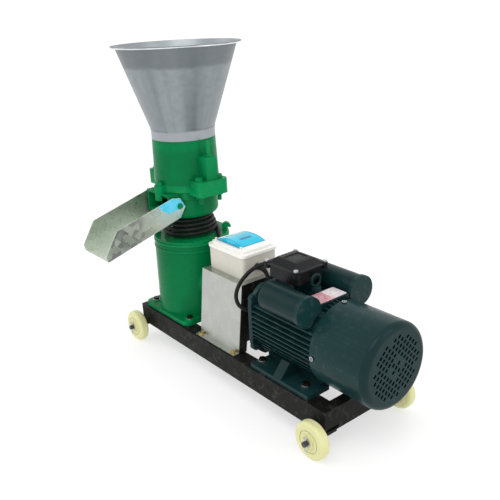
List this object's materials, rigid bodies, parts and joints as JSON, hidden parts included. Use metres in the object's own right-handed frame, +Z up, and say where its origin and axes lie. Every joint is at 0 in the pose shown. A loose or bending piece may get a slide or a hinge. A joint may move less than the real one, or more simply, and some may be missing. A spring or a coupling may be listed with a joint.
{
  "type": "feed_pellet_mill",
  "caption": "Wheeled flat-die feed pellet mill with bevel-gear column, hopper, discharge chute, guarded coupling, switch box and electric motor",
  "frame": {"origin": "middle of the machine's box, cords left out, on the floor the wheels stand on", "axes": "+X from the mill to the motor, -Y the side of the discharge chute, +Z up"},
  "size_m": [1.0039, 0.5174, 0.936],
  "materials": {
    "frame_black": "satin black enamel",
    "dark_steel": "turned, lightly oiled",
    "nylon_cream": "moulded cream nylon",
    "zinc_steel": "bright zinc plated",
    "casting_green": "gloss green casting enamel",
    "hopper_sheet": "brushed sheet",
    "galvanised_sheet": "galvanised sheet",
    "tool_steel": "machined",
    "bearing_steel": "ground and polished",
    "cast_grey": "machined cast iron",
    "spider_rubber": "moulded elastomer",
    "yellow_zinc": "yellow zinc plated",
    "cream_plastic": "fine moulded texture",
    "white_plastic": "smooth moulded",
    "cyan_window": "clear tinted blue",
    "blue_toggle": "smooth moulded",
    "motor_paint": "dark blue-green enamel",
    "winding_copper": "varnished copper windings on steel laminations",
    "black_plastic": "fine moulded texture",
    "plate_aluminium": "anodised blank plate",
    "black_rubber": "smooth cable sheath"
  },
  "bodies": {
    "base": {"side_rails": "frame_black", "cross_members": "frame_black", "wheel_axles": "dark_steel", "axle_retainers": "zinc_steel", "gear_housing": "casting_green", "foot_bolts": "zinc_steel", "neck_cover": "casting_green", "discharge_bowl": "casting_green", "press_head": "casting_green", "head_bolts": "casting_green", "lock_nuts": "casting_green", "hopper": "hopper_sheet", "chute_bolts": "casting_green", "main_bearings": "bearing_steel", "pinion_bearings": "bearing_steel", "guard_cover": "galvanised_sheet", "guard_end_frame": "frame_black", "guard_bolts": "yellow_zinc", "switch_base": "cream_plastic", "switch_lid": "white_plastic", "breaker": "white_plastic", "motor_body": "motor_paint", "front_shield": "motor_paint", "rear_shield": "motor_paint", "stator": "winding_copper", "motor_bearings": "bearing_steel", "fan_cover": "motor_paint", "terminal_box": "black_plastic", "terminal_lid": "black_plastic", "motor_screws": "zinc_steel", "capacitor_covers": "motor_paint", "eye_bolt": "motor_paint", "nameplate": "plate_aluminium", "cable_glands": "black_plastic", "motor_lead": "black_rubber", "mains_cord_coil": "black_rubber", "mains_cord_lead": "black_rubber", "mains_cord_tail": "black_rubber", "mains_plug": "black_plastic"},
    "wheel_mill_near": {"wheel_mill_near": "nylon_cream"},
    "wheel_mill_far": {"wheel_mill_far": "nylon_cream"},
    "wheel_motor_near": {"wheel_motor_near": "nylon_cream"},
    "wheel_motor_far": {"wheel_motor_far": "nylon_cream"},
    "main_spindle": {"main_shaft": "dark_steel", "crown_gear": "tool_steel", "die_plate": "tool_steel", "scraper": "tool_steel"},
    "pinion": {"pinion_shaft": "tool_steel", "coupling_gear_half": "cast_grey", "coupling_spider": "spider_rubber"},
    "motor_rotor": {"rotor": "tool_steel", "cooling_fan": "black_plastic", "coupling_motor_half": "cast_grey"},
    "roller_carriage": {"roller_shaft": "dark_steel", "adjusting_screws": "casting_green"},
    "roller_motor_side": {"roller_motor_side": "tool_steel"},
    "roller_far_side": {"roller_far_side": "tool_steel"},
    "chute": {"chute": "galvanised_sheet"},
    "window": {"switch_window": "cyan_window"},
    "toggle": {"breaker_toggle": "blue_toggle"}
  },
  "joints": [
    {"name": "wheel_mill_near_spin", "type": "hinge", "parent": "base", "child": "wheel_mill_near", "pos_m": [-0.443, -0.08707, 0.05], "axis": [0, 1, 0], "continuous": true},
    {"name": "wheel_mill_far_spin", "type": "hinge", "parent": "base", "child": "wheel_mill_far", "pos_m": [-0.443, 0.22893, 0.05], "axis": [0, 1, 0], "continuous": true},
    {"name": "wheel_motor_near_spin", "type": "hinge", "parent": "base", "child": "wheel_motor_near", "pos_m": [0.386, -0.08707, 0.05], "axis": [0, 1, 0], "continuous": true},
    {"name": "wheel_motor_far_spin", "type": "hinge", "parent": "base", "child": "wheel_motor_far", "pos_m": [0.386, 0.22893, 0.05], "axis": [0, 1, 0], "continuous": true},
    {"name": "main_spin", "type": "hinge", "parent": "base", "child": "main_spindle", "pos_m": [-0.316, 0.07093, 0.3], "axis": [0, 0, 1], "continuous": true},
    {"name": "pinion_spin", "type": "hinge", "parent": "base", "child": "pinion", "pos_m": [-0.316, 0.07093, 0.232], "axis": [1, 0, 0], "continuous": true},
    {"name": "rotor_spin", "type": "hinge", "parent": "base", "child": "motor_rotor", "pos_m": [0.178, 0.07093, 0.232], "axis": [1, 0, 0], "continuous": true},
    {"name": "roller_gap", "type": "slide", "parent": "base", "child": "roller_carriage", "axis": [0, 0, 1], "range_m": [0, 0.008]},
    {"name": "roller_motor_side_spin", "type": "hinge", "parent": "roller_carriage", "child": "roller_motor_side", "pos_m": [-0.268, 0.07093, 0.5643], "axis": [1, 0, 0], "continuous": true},
    {"name": "roller_far_side_spin", "type": "hinge", "parent": "roller_carriage", "child": "roller_far_side", "pos_m": [-0.364, 0.07093, 0.5643], "axis": [1, 0, 0], "continuous": true},
    {"name": "chute_tilt", "type": "hinge", "parent": "base", "child": "chute", "pos_m": [-0.316, -0.00806, 0.484], "axis": [-1, 0, 0], "range_deg": [0, 17]},
    {"name": "window_lift", "type": "hinge", "parent": "base", "child": "window", "pos_m": [-0.069, 0.03193, 0.4025], "axis": [1, 0, 0], "range_deg": [0, 110]},
    {"name": "breaker_switch", "type": "hinge", "parent": "base", "child": "toggle", "pos_m": [-0.069, 0.07694, 0.3925], "axis": [1, 0, 0], "range_deg": [0, 40]}
  ],
  "couplings": [
    {"joint": "pinion_spin", "follows": "main_spin", "ratio": 3},
    {"joint": "rotor_spin", "follows": "main_spin", "ratio": 3},
    {"joint": "roller_motor_side_spin", "follows": "main_spin", "ratio": 1.2},
    {"joint": "roller_far_side_spin", "follows": "main_spin", "ratio": -1.2}
  ]
}
